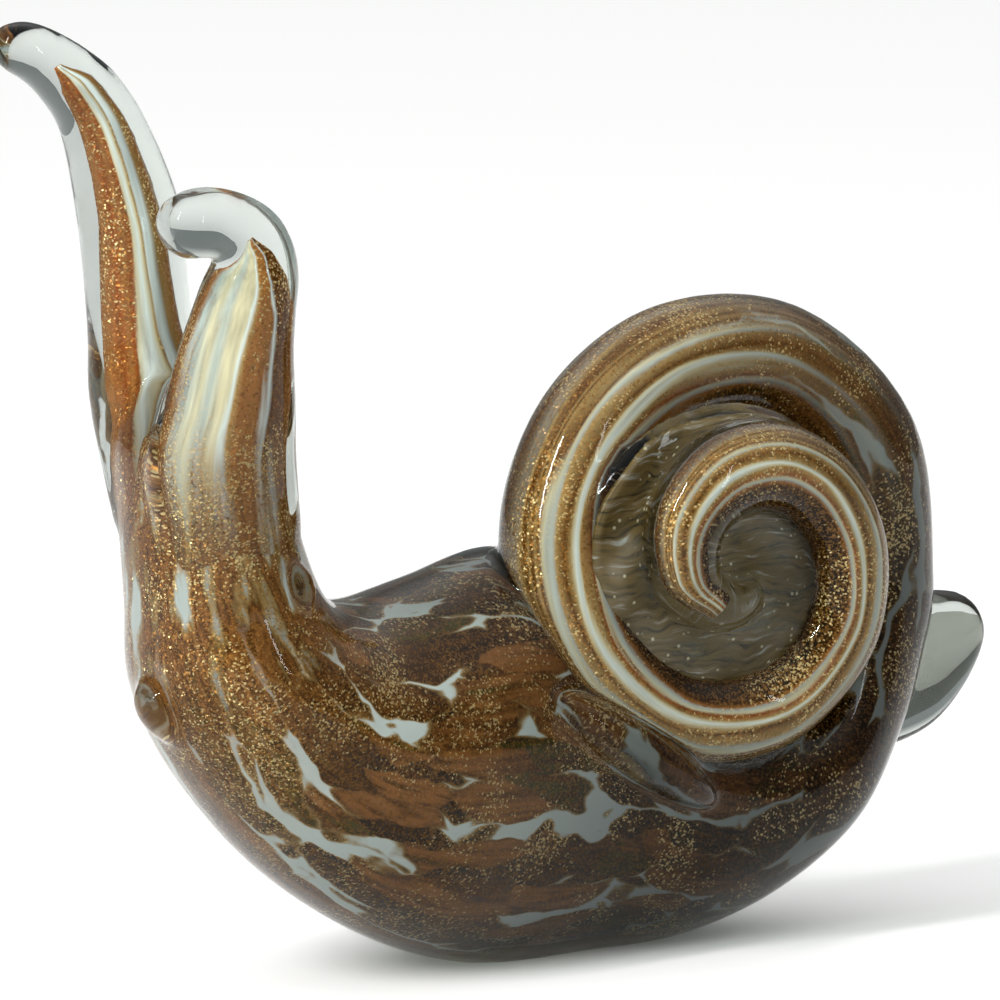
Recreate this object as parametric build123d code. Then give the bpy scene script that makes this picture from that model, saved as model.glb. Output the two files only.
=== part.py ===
from build123d import *
from math import cos, pi, radians, sin
import os

# A snail worked from solid hot glass. It faces -X, its shell coil shows on the -Y side, and it
# rests on a small ground flat at Z = 0, with the origin in the middle of its footprint.
# Each piece is one mass of glass: a white core, the flecked colour rolled on it, the clear
# gather over both, and the clear bits that the maker added or drew out.

# Body, in millimetres
BODY_LENGTH = 110.0
NECK_HEIGHT = 80.0
BODY_WIDTH = 40.0
GRIND_DEPTH = 1.0

# Shell coil
SHELL_RADIUS = 36.8
SHELL_TUBE = 18.5
SHELL_STEP = 19.0
SEAT_CLEARANCE = 0.4
# Degrees of the coil's turn left open where the body goes over into the shell
SHELL_JOIN_TURN = 1.0

# Horns, measured from the cut that parts the neck
FAR_HORN_REACH = 52.0
NEAR_HORN_REACH = 34.0
HORN_CUT_GAP = 0.6

# Clear bits: the drawn tail, the snout, the prunt on the neck, the seat under the shell and the
# web that closes the coil's middle
TAIL_LENGTH = 17.4
TAIL_HEIGHT = 19.0
TAIL_THICKNESS = 9.0
SNOUT_LENGTH = 11.0
SNOUT_HEIGHT = 7.0
SNOUT_WIDTH = 8.0
PRUNT_LENGTH = 6.0
PRUNT_HEIGHT = 7.5
PRUNT_WIDTH = 5.0
SEAT_LENGTH = 28.0
SEAT_HEIGHT = 7.0
SEAT_WIDTH = 10.0
WEB_LENGTH = 32.0
WEB_HEIGHT = 32.0
WEB_WIDTH = 7.0

# A rib is a slice across the glass: the end of its chord on the back of the animal, the end on
# its belly, and half its width across the chord. Here X is a share of BODY_LENGTH, Y and the half
# width are shares of BODY_WIDTH, and Z is a share of NECK_HEIGHT. The first rib is the cut that
# parts the neck into the horns.
BODY_RIB_SHARES = [
    ((-0.295, 0.0, 0.86), (-0.475, 0.0, 0.86), 0.33),
    ((-0.275, 0.0, 0.745), (-0.468, 0.0, 0.745), 0.325),
    ((-0.25, 0.0, 0.65), (-0.46, 0.0, 0.61), 0.35),
    ((-0.23, 0.0, 0.61), (-0.452, 0.0, 0.48), 0.4),
    ((-0.205, 0.025, 0.6), (-0.4, 0.0, 0.34), 0.45),
    ((-0.165, 0.05, 0.6), (-0.295, 0.0, 0.175), 0.48),
    ((-0.085, 0.1, 0.625), (-0.155, 0.0, 0.05), 0.5),
    ((0.02, 0.2, 0.655), (-0.02, -0.025, -0.008), 0.475),
    ((0.125, 0.25, 0.6), (0.11, -0.05, -0.008), 0.44),
    ((0.225, 0.225, 0.475), (0.235, -0.04, 0.004), 0.425),
    ((0.31, 0.175, 0.41), (0.35, 0.0, 0.058), 0.395),
    ((0.375, 0.11, 0.41), (0.45, 0.04, 0.16), 0.36),
    ((0.4, 0.1, 0.49), (0.525, 0.075, 0.31), 0.3),
    ((0.402, 0.09, 0.536), (0.556, 0.08, 0.415), 0.26),
]
# The body is drawn in these spans of ribs, which meet at a rib that both hold; its last rib is
# the one where the coil starts
BODY_SPANS = [(0, 12), (12, 14)]

# The layers of each mass, from the clear gather inwards: the share of every rib that the whole mass,
# the colour with its core, and the core alone take up
LAYER_SHARES = {
    "body": (1.0, 0.72, 0.67),
    "shell": (1.0, 0.72, 0.66),
    "far_horn": (1.0, 0.48, 0.41),
    "near_horn": (1.0, 0.66, 0.58),
}
# How much further the coil's groove reaches into each layer of the body, as shares of SHELL_TUBE
GROOVE_SHARES = (0.0, 0.05, 0.08)

# Where the coil's centre lies, in the same shares
SHELL_CENTRE_SHARES = (0.25, 0.0, 0.64)

# The coil by its turn in degrees: the outer radius as a share of SHELL_RADIUS, the tube as a share
# of SHELL_TUBE, the sideways place as a share of SHELL_STEP, and the extra clear glass outside the
# colour as a share of SHELL_TUBE
COIL_SHARES = [
    (-14, 1.0, 1.0, 0.175, 0.0),
    (22.5, 0.965, 0.94, 0.185, 0.0),
    (60, 0.9, 0.89, 0.155, 0.0),
    (97.5, 0.83, 0.875, 0.08, 0.0),
    (135, 0.79, 0.885, -0.05, 0.0),
    (172.5, 0.785, 0.885, -0.19, 0.0),
    (210, 0.785, 0.83, -0.335, 0.0),
    (247.5, 0.76, 0.73, -0.46, 0.0),
    (285, 0.7, 0.64, -0.57, 0.02),
    (322.5, 0.62, 0.6, -0.66, 0.04),
    (360, 0.54, 0.59, -0.715, 0.06),
    (397.5, 0.5, 0.6, -0.75, 0.09),
    (435, 0.49, 0.62, -0.775, 0.14),
    (472.5, 0.475, 0.62, -0.79, 0.19),
    (510, 0.44, 0.57, -0.8, 0.2),
    (547.5, 0.375, 0.48, -0.805, 0.17),
    (585, 0.29, 0.38, -0.805, 0.12),
]
# The coil's spans of ribs, in the same way
COIL_SPANS = [(0, 8), (8, 13), (13, 16)]
# The ribs between which the coil presses into the body
PRESSED_RIBS = (4, 9)
# The clear tip goes on from the last rib, in the same columns, to a point by the coil's centre
SHELL_TIP_SHARES = [(615, 0.225, 0.3, -0.8), (645, 0.16, 0.22, -0.79)]
SHELL_TIP_END_SHARES = (0.04, -0.79, -0.014)

# The horns' ribs above the cut, each as X and Z of the two chord ends from the middle of the cut,
# and the side facing the other horn, the chord and the far side in Y, all as shares of the
# horn's reach
HORN_ROOT_X_SHARE = -0.4
# How far across its half of the cut each horn's chord lies
HORN_CHORD_SHARE = 0.3
FAR_HORN_SHARES = [
    ((0.155, 0.13), (-0.175, 0.13), 0.01, 0.085, 0.265),
    ((0.095, 0.255), (-0.17, 0.255), 0.025, 0.13, 0.27),
    ((0.075, 0.4), (-0.175, 0.4), 0.03, 0.155, 0.28),
    ((0.06, 0.56), (-0.19, 0.535), 0.035, 0.16, 0.28),
    ((-0.025, 0.776), (-0.234, 0.754), 0.06, 0.165, 0.27),
    ((-0.106, 0.895), (-0.296, 0.847), 0.07, 0.165, 0.26),
    ((-0.173, 0.952), (-0.341, 0.885), 0.08, 0.165, 0.25),
    ((-0.239, 0.992), (-0.379, 0.909), 0.087, 0.165, 0.243),
    ((-0.292, 1.017), (-0.405, 0.932), 0.097, 0.165, 0.233),
    ((-0.344, 1.028), (-0.418, 0.961), 0.118, 0.165, 0.212),
]
NEAR_HORN_SHARES = [
    ((0.33, 0.195), (-0.175, 0.195), -0.015, -0.13, -0.41),
    ((0.305, 0.39), (-0.12, 0.39), -0.03, -0.2, -0.435),
    ((0.305, 0.55), (-0.07, 0.55), -0.06, -0.25, -0.445),
    ((0.31, 0.655), (-0.035, 0.66), -0.095, -0.265, -0.44),
    ((0.29, 0.775), (-0.01, 0.71), -0.125, -0.275, -0.43),
    ((0.225, 0.89), (-0.005, 0.735), -0.14, -0.28, -0.42),
    ((0.11, 0.965), (-0.02, 0.745), -0.145, -0.28, -0.415),
    ((-0.04, 1.005), (-0.06, 0.745), -0.15, -0.28, -0.41),
    ((-0.145, 0.99), (-0.13, 0.745), -0.155, -0.28, -0.405),
    ((-0.215, 0.945), (-0.205, 0.79), -0.195, -0.28, -0.365),
]
# Each horn's side of the neck, its tip as X, Y and Z, how many ribs its colour has, where the
# colour comes to its point, and the rib where a leg ends and a tighter curl starts
HORN_SHAPES = {
    "far_horn": (1, (-0.406, 0.165, 1.01), 6, (-0.242, 0.165, 0.913), None),
    "near_horn": (-1, (-0.24, -0.28, 0.865), 6, (0.0, -0.28, 0.88), 3),
}

# The tail's ribs by their place along its length, the top and the bottom as shares of its height
# and the half thickness as a share of its thickness, then its tip
TAIL_ROOT_SHARES = (0.51, 0.14, 0.39)
TAIL_RIB_SHARES = [
    (0.0, 0.42, -0.55, 0.5),
    (0.3, 0.5, -0.5, 0.5),
    (0.55, 0.52, -0.4, 0.45),
    (0.77, 0.48, -0.2, 0.38),
    (0.92, 0.38, 0.02, 0.26),
]
TAIL_TIP_SHARES = (1.0, 0.2)

# The beads of clear glass: the centre in shares of the body, then the lean towards the ground and
# the swing towards the shell's side, both in degrees
SNOUT_PLACE = ((-0.45, -0.05, 0.455), 55, 0)
PRUNT_PLACE = ((-0.31, -0.32, 0.655), -10, -62)
SEAT_PLACE = ((0.105, -0.35, 0.355), 34, 0)
WEB_PLACE = ((0.235, -0.28, 0.62), 0, 0)
# A bead is round by these stations along its length
BEAD_STATION_SHARES = [-0.46, -0.3, -0.1, 0.1, 0.3, 0.46]
RING_POINTS = 8


def body_point(shares):
    """A point given in shares of the body's length, width and neck height."""
    return Vector(
        shares[0] * BODY_LENGTH,
        shares[1] * BODY_WIDTH,
        shares[2] * NECK_HEIGHT,
    )


def even_rib(back, belly, half_width):
    """A rib with its chord in the middle: the chord's ends and its reach to either side."""
    return back, belly, half_width, half_width


def taken_in(rib, share):
    """A rib of one layer inside the glass, about the same middle."""
    back, belly, left, right = rib
    middle = (back + belly) * 0.5 + across(rib) * ((right - left) * (1 - share) / 2)
    chord = (belly - back) * (share / 2)
    return middle - chord, middle + chord, left * share, right * share


def spread(rib, clearance):
    """A rib with a clearance all round it."""
    back, belly, left, right = rib
    step = (belly - back).normalized() * clearance
    return back - step, belly + step, left + clearance, right + clearance


def across(rib):
    """The direction across a rib's chord, as near to +Y as the chord allows."""
    chord = (rib[1] - rib[0]).normalized()
    return (Vector(0, 1, 0) - chord * chord.Y).normalized()


def ring(rib):
    """The closed smooth line round a rib."""
    back, belly, left, right = rib
    chord = (belly - back) * 0.5
    side = across(rib)
    middle = (back + belly) * 0.5
    points = []
    for i in range(RING_POINTS):
        angle = 2 * pi * i / RING_POINTS
        reach = right if sin(angle) > 0 else left
        points.append(middle + chord * cos(angle) + side * (reach * sin(angle)))
    return Wire([Edge.make_spline(points, periodic=True)])


def drawn(ribs, share=1.0, end=None):
    """A smooth mass of glass through its ribs, flat at its start and flat or pointed at its end."""
    sections = [ring(taken_in(rib, share)) for rib in ribs]
    if end is not None:
        sections.append(Vertex(end.X, end.Y, end.Z))
    return Solid.make_loft(sections)


def drawn_in_spans(ribs, spans, share):
    """A long mass of glass, drawn span by span and fused."""
    masses = [drawn(ribs[first:last + 1], share) for first, last in spans]
    return masses[0].fuse(*masses[1:]).solids()[0]


def bead(length, height, width, place):
    """A rounded bead of clear glass, longest along X before it leans towards the ground."""
    centre_shares, lean, swing = place
    sections = [Vertex(-length / 2, 0, 0)]
    for share in BEAD_STATION_SHARES:
        size = (1 - (2 * share) ** 2) ** 0.5
        top = Vector(share * length, 0, size * height / 2)
        low = Vector(share * length, 0, -size * height / 2)
        sections.append(ring(even_rib(top, low, size * width / 2)))
    sections.append(Vertex(length / 2, 0, 0))
    stand = Location(body_point(centre_shares), (0, lean, 0)) * Rot(0, 0, swing)
    return stand * Solid.make_loft(sections)


def coil_rib(turn, radius_share, tube_share, step_share, clear_share=0):
    """One rib of the shell coil; clear_share takes it in on the outer side."""
    centre = body_point(SHELL_CENTRE_SHARES)
    outwards = Vector(cos(radians(turn)), 0, sin(radians(turn)))
    sideways = Vector(0, step_share * SHELL_STEP, 0)
    radius = radius_share * SHELL_RADIUS
    tube = tube_share * SHELL_TUBE
    clear = clear_share * SHELL_TUBE
    inner = centre + outwards * (radius - tube) + sideways
    outer = centre + outwards * (radius - clear) + sideways
    return even_rib(inner, outer, (tube - clear) / 2)


def body_layer(share, groove_share):
    """The body and neck down to one layer of glass, pressed in where the coil lies on the back."""
    ribs = []
    for back, belly, width in BODY_RIB_SHARES:
        ribs.append(even_rib(body_point(back), body_point(belly), width * BODY_WIDTH))
    turn, radius, tube, step = COIL_SHARES[0][:4]
    ribs.append(coil_rib(turn - SHELL_JOIN_TURN, radius, tube, step))
    clearance = SEAT_CLEARANCE + groove_share * SHELL_TUBE
    rows = COIL_SHARES[PRESSED_RIBS[0]:PRESSED_RIBS[1] + 1]
    pressed = [spread(coil_rib(*row[:4]), clearance) for row in rows]
    return left_of(drawn_in_spans(ribs, BODY_SPANS, share), drawn(pressed))


def shell_layer(share):
    """The shell coil down to one layer of glass."""
    ribs = []
    for turn, radius, tube, step, clear in COIL_SHARES:
        ribs.append(coil_rib(turn, radius, tube, step, clear if share < 1 else 0))
    return drawn_in_spans(ribs, COIL_SPANS, share)


def shell_tip():
    """The clear end of the coil, drawn out to a point near the coil's centre."""
    ribs = [coil_rib(*COIL_SHARES[-1][:4])]
    for turn, radius, tube, step in SHELL_TIP_SHARES:
        ribs.append(coil_rib(turn, radius, tube, step))
    along, sideways, up = SHELL_TIP_END_SHARES
    reach = Vector(along * SHELL_RADIUS, sideways * SHELL_STEP, up * SHELL_RADIUS)
    return drawn(ribs, end=body_point(SHELL_CENTRE_SHARES) + reach)


def horn_rib(back, belly, inside, chord, outside):
    """A horn's rib from the Y of its side facing the other horn, its chord and its far side."""
    left, right = abs(chord - inside), abs(outside - chord)
    if outside < 0:
        left, right = right, left
    return Vector(back.X, chord, back.Z), Vector(belly.X, chord, belly.Z), left, right


def horn_ribs(name, reach, rows):
    """A horn's ribs from its half of the cut in the neck to its tip."""
    back, belly, width = BODY_RIB_SHARES[0]
    side = HORN_SHAPES[name][0]
    gap = side * HORN_CUT_GAP / 2
    neck_side = side * width * BODY_WIDTH
    chord = gap + (neck_side - gap) * HORN_CHORD_SHARE
    ribs = [horn_rib(body_point(back), body_point(belly), gap, chord, neck_side)]
    root = horn_root()
    for back, belly, inside, chord, outside in rows:
        back_point = root + Vector(back[0], 0, back[1]) * reach
        belly_point = root + Vector(belly[0], 0, belly[1]) * reach
        ribs.append(horn_rib(back_point, belly_point, inside * reach, chord * reach, outside * reach))
    return ribs


def horn_root():
    """The middle of the cut that parts the neck."""
    return Vector(HORN_ROOT_X_SHARE * BODY_LENGTH, 0, BODY_RIB_SHARES[0][0][2] * NECK_HEIGHT)


def horn_layer(name, reach, rows, share):
    """A horn down to one layer of glass, from the cut in the neck to its tip."""
    tip, colour_ribs, colour_end, curl_rib = HORN_SHAPES[name][1:]
    ribs = horn_ribs(name, reach, rows)
    end = horn_root() + Vector(*tip) * reach
    if share < 1:
        ribs = ribs[:colour_ribs + 1]
        back, belly = ribs[-1][:2]
        towards_tip = horn_root() + Vector(*colour_end) * reach - (back + belly) * 0.5
        end = (back + belly) * 0.5 + towards_tip * (share / LAYER_SHARES[name][1])
    if curl_rib is None:
        return drawn(ribs, share, end=end)
    leg = drawn(ribs[:curl_rib + 1], share)
    curl = drawn(ribs[curl_rib:], share, end=end)
    return leg.fuse(curl).solids()[0]


def tail():
    """The clear tail, drawn out of the back of the body."""
    root = body_point(TAIL_ROOT_SHARES)
    ribs = []
    for along, top, low, width in TAIL_RIB_SHARES:
        back = root + Vector(along * TAIL_LENGTH, 0, top * TAIL_HEIGHT)
        belly = root + Vector(along * TAIL_LENGTH, 0, low * TAIL_HEIGHT)
        ribs.append(even_rib(back, belly, width * TAIL_THICKNESS))
    along, up = TAIL_TIP_SHARES
    return drawn(ribs, end=root + Vector(along * TAIL_LENGTH, 0, up * TAIL_HEIGHT))


def left_of(piece, *others):
    """The largest solid left of a piece where the others take their glass first."""
    for other in others:
        piece = max(piece.cut(other).solids(), key=lambda solid: solid.volume)
    return piece


def ground(piece):
    """A piece with its lowest glass ground away flat."""
    lowest = piece.bounding_box().min.Z
    return piece.split(Plane.XY.offset(lowest + GRIND_DEPTH), keep=Keep.TOP)


def nested(prefix, outer, colour, core):
    """The three layers of one gather as named solids, each clear of the layers inside it."""
    return {
        f"{prefix}_clear_casing": left_of(outer, colour),
        f"{prefix}_colour_layer": left_of(colour, core),
        f"{prefix}_white_core": core,
    }


def build():
    """Makes every piece where it lies, stands the animal on its origin and writes it."""
    layers = [body_layer(*shares) for shares in zip(LAYER_SHARES["body"], GROOVE_SHARES)]
    pieces = nested("body", *layers)
    pieces["body_clear_casing"] = ground(pieces["body_clear_casing"])
    body = layers[0]
    layers = [shell_layer(share) for share in LAYER_SHARES["shell"]]
    pieces.update(nested("shell", *layers))
    shell = layers[0]
    horns = (
        ("far_horn", FAR_HORN_REACH, FAR_HORN_SHARES),
        ("near_horn", NEAR_HORN_REACH, NEAR_HORN_SHARES),
    )
    for name, reach, rows in horns:
        layers = [horn_layer(name, reach, rows, share) for share in LAYER_SHARES[name]]
        pieces.update(nested(name, *layers))
    pieces["shell_tip"] = shell_tip()
    web = bead(WEB_LENGTH, WEB_HEIGHT, WEB_WIDTH, WEB_PLACE)
    pieces["shell_web"] = left_of(web, shell, pieces["shell_tip"])
    pieces["shell_seat"] = left_of(bead(SEAT_LENGTH, SEAT_HEIGHT, SEAT_WIDTH, SEAT_PLACE), shell, body)
    pieces["tail_tip"] = left_of(tail(), body, shell)
    pieces["snout_bit"] = left_of(bead(SNOUT_LENGTH, SNOUT_HEIGHT, SNOUT_WIDTH, SNOUT_PLACE), body)
    pieces["neck_prunt"] = left_of(bead(PRUNT_LENGTH, PRUNT_HEIGHT, PRUNT_WIDTH, PRUNT_PLACE), body)

    boxes = [solid.bounding_box() for solid in pieces.values()]
    middle_x = (min(box.min.X for box in boxes) + max(box.max.X for box in boxes)) / 2
    middle_y = (min(box.min.Y for box in boxes) + max(box.max.Y for box in boxes)) / 2
    floor = min(box.min.Z for box in boxes)
    os.makedirs("parts", exist_ok=True)
    for name, solid in pieces.items():
        placed = Pos(-middle_x, -middle_y, -floor) * solid
        placed.label = name
        export_step(placed, f"parts/{name}.step")
        print(f"{name}: {solid.volume:.0f} mm3, valid {solid.is_valid}")


build()
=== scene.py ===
"""A snail worked from solid hot glass: opal white, rolled in copper-flecked colour, cased in clear.

The clear gather, its drawn tips and its bits are one continuous piece of clear glass, as they are on
the real one. The colour lies inside it on masses of its own, so the casing bends and enlarges it.
Sizes are in millimetres and become metres where a mesh is made. Angles are in degrees.
"""
import logging
import random
from collections.abc import Sequence
from dataclasses import dataclass, replace
from enum import Enum
from math import cos, pi, radians, sin

import bmesh
import bpy
from mathutils import Matrix, Vector


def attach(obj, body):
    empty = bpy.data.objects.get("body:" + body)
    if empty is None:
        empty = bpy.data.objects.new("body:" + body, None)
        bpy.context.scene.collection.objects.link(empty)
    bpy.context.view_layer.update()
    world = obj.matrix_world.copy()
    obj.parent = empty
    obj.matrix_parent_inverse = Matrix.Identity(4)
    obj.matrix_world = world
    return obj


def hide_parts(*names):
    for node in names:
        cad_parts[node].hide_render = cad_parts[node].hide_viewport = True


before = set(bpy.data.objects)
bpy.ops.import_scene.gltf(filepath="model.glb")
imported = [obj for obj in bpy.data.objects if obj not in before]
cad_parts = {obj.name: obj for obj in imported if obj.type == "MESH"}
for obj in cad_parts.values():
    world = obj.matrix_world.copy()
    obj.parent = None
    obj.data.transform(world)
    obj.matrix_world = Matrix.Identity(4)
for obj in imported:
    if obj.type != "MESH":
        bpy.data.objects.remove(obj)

LOG = logging.getLogger("snail")
MM = 0.001
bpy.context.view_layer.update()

# no slice of a mass is less than this share of its rib, and no two ribs are taken as closer than this
LEAST_SHARE = 0.02
LEAST_SPAN = 0.1

Pair = tuple[float, float]
Triple = tuple[float, float, float]


class Side(Enum):
    """How the end of a mass is closed: as a flat cut, or drawn to a point."""

    CUT = "cut"
    POINT = "point"


class Shade(Enum):
    """The colours as sRGB hex values, of the clear glass, the coloured glass and the room in turn."""

    CLEAR = "dfe4e0"
    DEPTH = "5f6e68"
    GLOSS = "8c9090"
    OPAL = "dde5e4"
    OPAL_SHADE = "b0b8b4"
    CREAM = "d4c9a8"
    SAND = "ab8c58"
    COPPER = "9c6534"
    RUST = "8f4617"
    BROWN = "5c340a"
    UMBER = "402405"
    DARK = "221302"
    TAUPE = "8f8270"
    MOSS = "4c4610"
    # smoke and soot: the tones of the painted shade in the clear web at the coil's middle
    SMOKE = "6f5a30"
    SOOT_SHADE = "33290f"
    # haze: the tint of the painted grey shade in the clear tail
    HAZE_SHADE = "d3d4d0"
    # the painted glint of a copper crystal
    FLECK_GLINT = "ffe2a4"
    GLINT = "d2934a"
    FLOOR = "fcfcfb"
    SKY = "ffffff"
    ROOM = "7f8484"


Stops = tuple[tuple[float, Shade], ...]


def linear(shade: Shade) -> tuple[float, float, float, float]:
    """Turns an sRGB shade to the linear colour that the nodes work in.

    Args:
        shade: The colour to turn.

    Returns:
        Red, green, blue and alpha, linear.
    """
    parts = [int(shade.value[i:i + 2], 16) / 255 for i in (0, 2, 4)]
    light = [p / 12.92 if p <= 0.04045 else ((p + 0.055) / 1.055) ** 2.4 for p in parts]
    return light[0], light[1], light[2], 1.0


def scale_of(size: float) -> float:
    """The texture scale at which one repeat is this many millimetres."""
    return 1 / (size * MM)


def drawn_scale(length: float, width: float) -> Triple:
    """The scales along and across a mass for streaks of this length and width."""
    return scale_of(length), scale_of(width), scale_of(width)


def node(tree: bpy.types.NodeTree, kind: str, settings: dict | None = None,
         inputs: dict | None = None) -> bpy.types.Node:
    """Adds a node, sets it up and links it.

    Args:
        tree: The node tree to add to.
        kind: The node's type name, without the ShaderNode that all of them begin with.
        settings: Property names and values.
        inputs: Input names or numbers, each with a value, or with the node or the socket to link from.

    Returns:
        The new node.
    """
    made = tree.nodes.new(f"ShaderNode{kind}")
    for name, value in (settings or {}).items():
        setattr(made, name, value)
    for name, value in (inputs or {}).items():
        if isinstance(value, bpy.types.Node):
            value = next(socket for socket in value.outputs if socket.enabled)
        if isinstance(value, bpy.types.NodeSocket):
            tree.links.new(value, made.inputs[name])
        else:
            made.inputs[name].default_value = value
    return made


# the settings that many nodes share
PLUS = {"operation": "ADD"}
MINUS = {"operation": "SUBTRACT"}
TIMES = {"operation": "MULTIPLY"}
TIMES_PLUS = {"operation": "MULTIPLY_ADD"}
SCALED = {"operation": "SCALE"}
EASED = {"interpolation_type": "SMOOTHSTEP"}
COLOURS = {"data_type": "RGBA"}
NEAREST = {"feature": "F1"}


def fill(ramp: bpy.types.Node, stops: Stops) -> None:
    """Sets a colour ramp's stops.

    Args:
        ramp: The ramp node.
        stops: Places from 0 to 1, each with its shade.
    """
    elements = ramp.color_ramp.elements
    while len(elements) < len(stops):
        elements.new(0.5)
    for element, (at, shade) in zip(elements, stops):
        element.position = at
        element.color = linear(shade)


def new_material(name: str) -> tuple[bpy.types.Material, bpy.types.NodeTree]:
    """Starts a node material with nothing in it.

    Args:
        name: The real material's name.

    Returns:
        The material and its node tree.
    """
    material = bpy.data.materials.new(name)
    material.use_nodes = True
    material.node_tree.nodes.clear()
    return material, material.node_tree


def as_mesh(bm: bmesh.types.BMesh, name: str) -> bpy.types.Mesh:
    """Writes a bmesh out as a new mesh and frees it."""
    mesh = bpy.data.meshes.new(name)
    bm.to_mesh(mesh)
    bm.free()
    return mesh


def placed(name: str, mesh: bpy.types.Mesh) -> bpy.types.Object:
    """Puts a mesh in the scene as a smooth-shaded object at the origin."""
    piece = bpy.data.objects.new(name, mesh)
    bpy.context.scene.collection.objects.link(piece)
    for face in mesh.polygons:
        face.use_smooth = True
    return piece


@dataclass(frozen=True)
class Rib:
    """A slice across the glass: its back and belly as X and Z, its middle in Y and its half width."""

    back_x: float
    back_z: float
    belly_x: float
    belly_z: float
    y: float
    half: float

    def numbers(self) -> tuple[float, ...]:
        """Its six sizes in order."""
        return self.back_x, self.back_z, self.belly_x, self.belly_z, self.y, self.half

    def middle(self) -> Vector:
        """The middle of the slice."""
        return Vector(((self.back_x + self.belly_x) / 2, self.y, (self.back_z + self.belly_z) / 2))

    def chord(self) -> Vector:
        """Half the way from the belly to the back."""
        return Vector((self.back_x - self.belly_x, 0, self.back_z - self.belly_z)) / 2

    def matrix(self, share: float) -> Matrix:
        """The matrix that turns a flat unit circle to this slice, in metres.

        Args:
            share: How much of the slice's size to keep, for the colour inside the casing.

        Returns:
            The matrix.
        """
        chord = self.chord()
        across = Vector((0, self.half, 0))
        along = chord.cross(across).normalized()
        turned = Matrix((chord * share * MM, across * share * MM, along * MM)).transposed()
        return Matrix.Translation(self.middle() * MM) @ turned.to_4x4()


def smooth_ribs(ribs: Sequence[Rib], steps: int) -> list[Rib]:
    """Fills in ribs between the given ones on smooth lines.

    Args:
        ribs: The ribs that the lines pass through.
        steps: How many new spans each span gets.

    Returns:
        The ribs, the given ones among them.
    """
    rows = [rib.numbers() for rib in ribs]
    gaps = [max((b.middle() - a.middle()).length, LEAST_SPAN) for a, b in zip(ribs, ribs[1:])]
    slopes = []
    for i in range(len(rows)):
        before = i - 1 if i else i
        after = i + 1 if i + 1 < len(rows) else i
        span = sum(gaps[before:after])
        slopes.append([(b - a) / span for a, b in zip(rows[before], rows[after])])
    out = []
    for i, gap in enumerate(gaps):
        for step in range(steps):
            # the four weights of a cubic line through two points with given slopes
            t = step / steps
            h00, h10 = 2 * t ** 3 - 3 * t ** 2 + 1, t ** 3 - 2 * t ** 2 + t
            h01, h11 = 3 * t ** 2 - 2 * t ** 3, t ** 3 - t ** 2
            mixed = [h00 * a + h10 * gap * m + h01 * b + h11 * gap * n
                     for a, b, m, n in zip(rows[i], rows[i + 1], slopes[i], slopes[i + 1])]
            out.append(Rib(*mixed))
    return out + [ribs[-1]]


def coil_rib(centre: Pair, turn: float, radius: float, tube: float, y: float) -> Rib:
    """A rib of the shell coil.

    Args:
        centre: X and Z of the coil's middle.
        turn: The turn, from +X towards +Z.
        radius: From the middle to the outside of the tube.
        tube: The tube's thickness.
        y: The tube's middle in Y.

    Returns:
        The rib, with its back towards the coil's middle.
    """
    out_x, out_z = cos(radians(turn)), sin(radians(turn))
    inner = radius - tube
    return Rib(centre[0] + out_x * inner, centre[1] + out_z * inner,
               centre[0] + out_x * radius, centre[1] + out_z * radius, y, tube / 2)


@dataclass(frozen=True)
class Draw:
    """How far the hot glass was drawn out at a rib: it decides how the colour lies there.

    Attributes:
        share: How much of the rib the mass takes up.
        patch: The length of a patch of colour there.
        comb: From 0 for patches to 1 for bands that run along the mass.
        streak: From 0 for patches to 1 for soft streaks, where there are no bands.
    """

    share: float = 1.0
    patch: float = 12.0
    comb: float = 0.0
    streak: float = 0.0

    def mix(self, other: "Draw", at: float) -> "Draw":
        """The draw that lies this far towards another."""
        pairs = ((self.share, other.share), (self.patch, other.patch), (self.comb, other.comb),
                 (self.streak, other.streak))
        return Draw(*[a + (b - a) * at for a, b in pairs])


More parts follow.
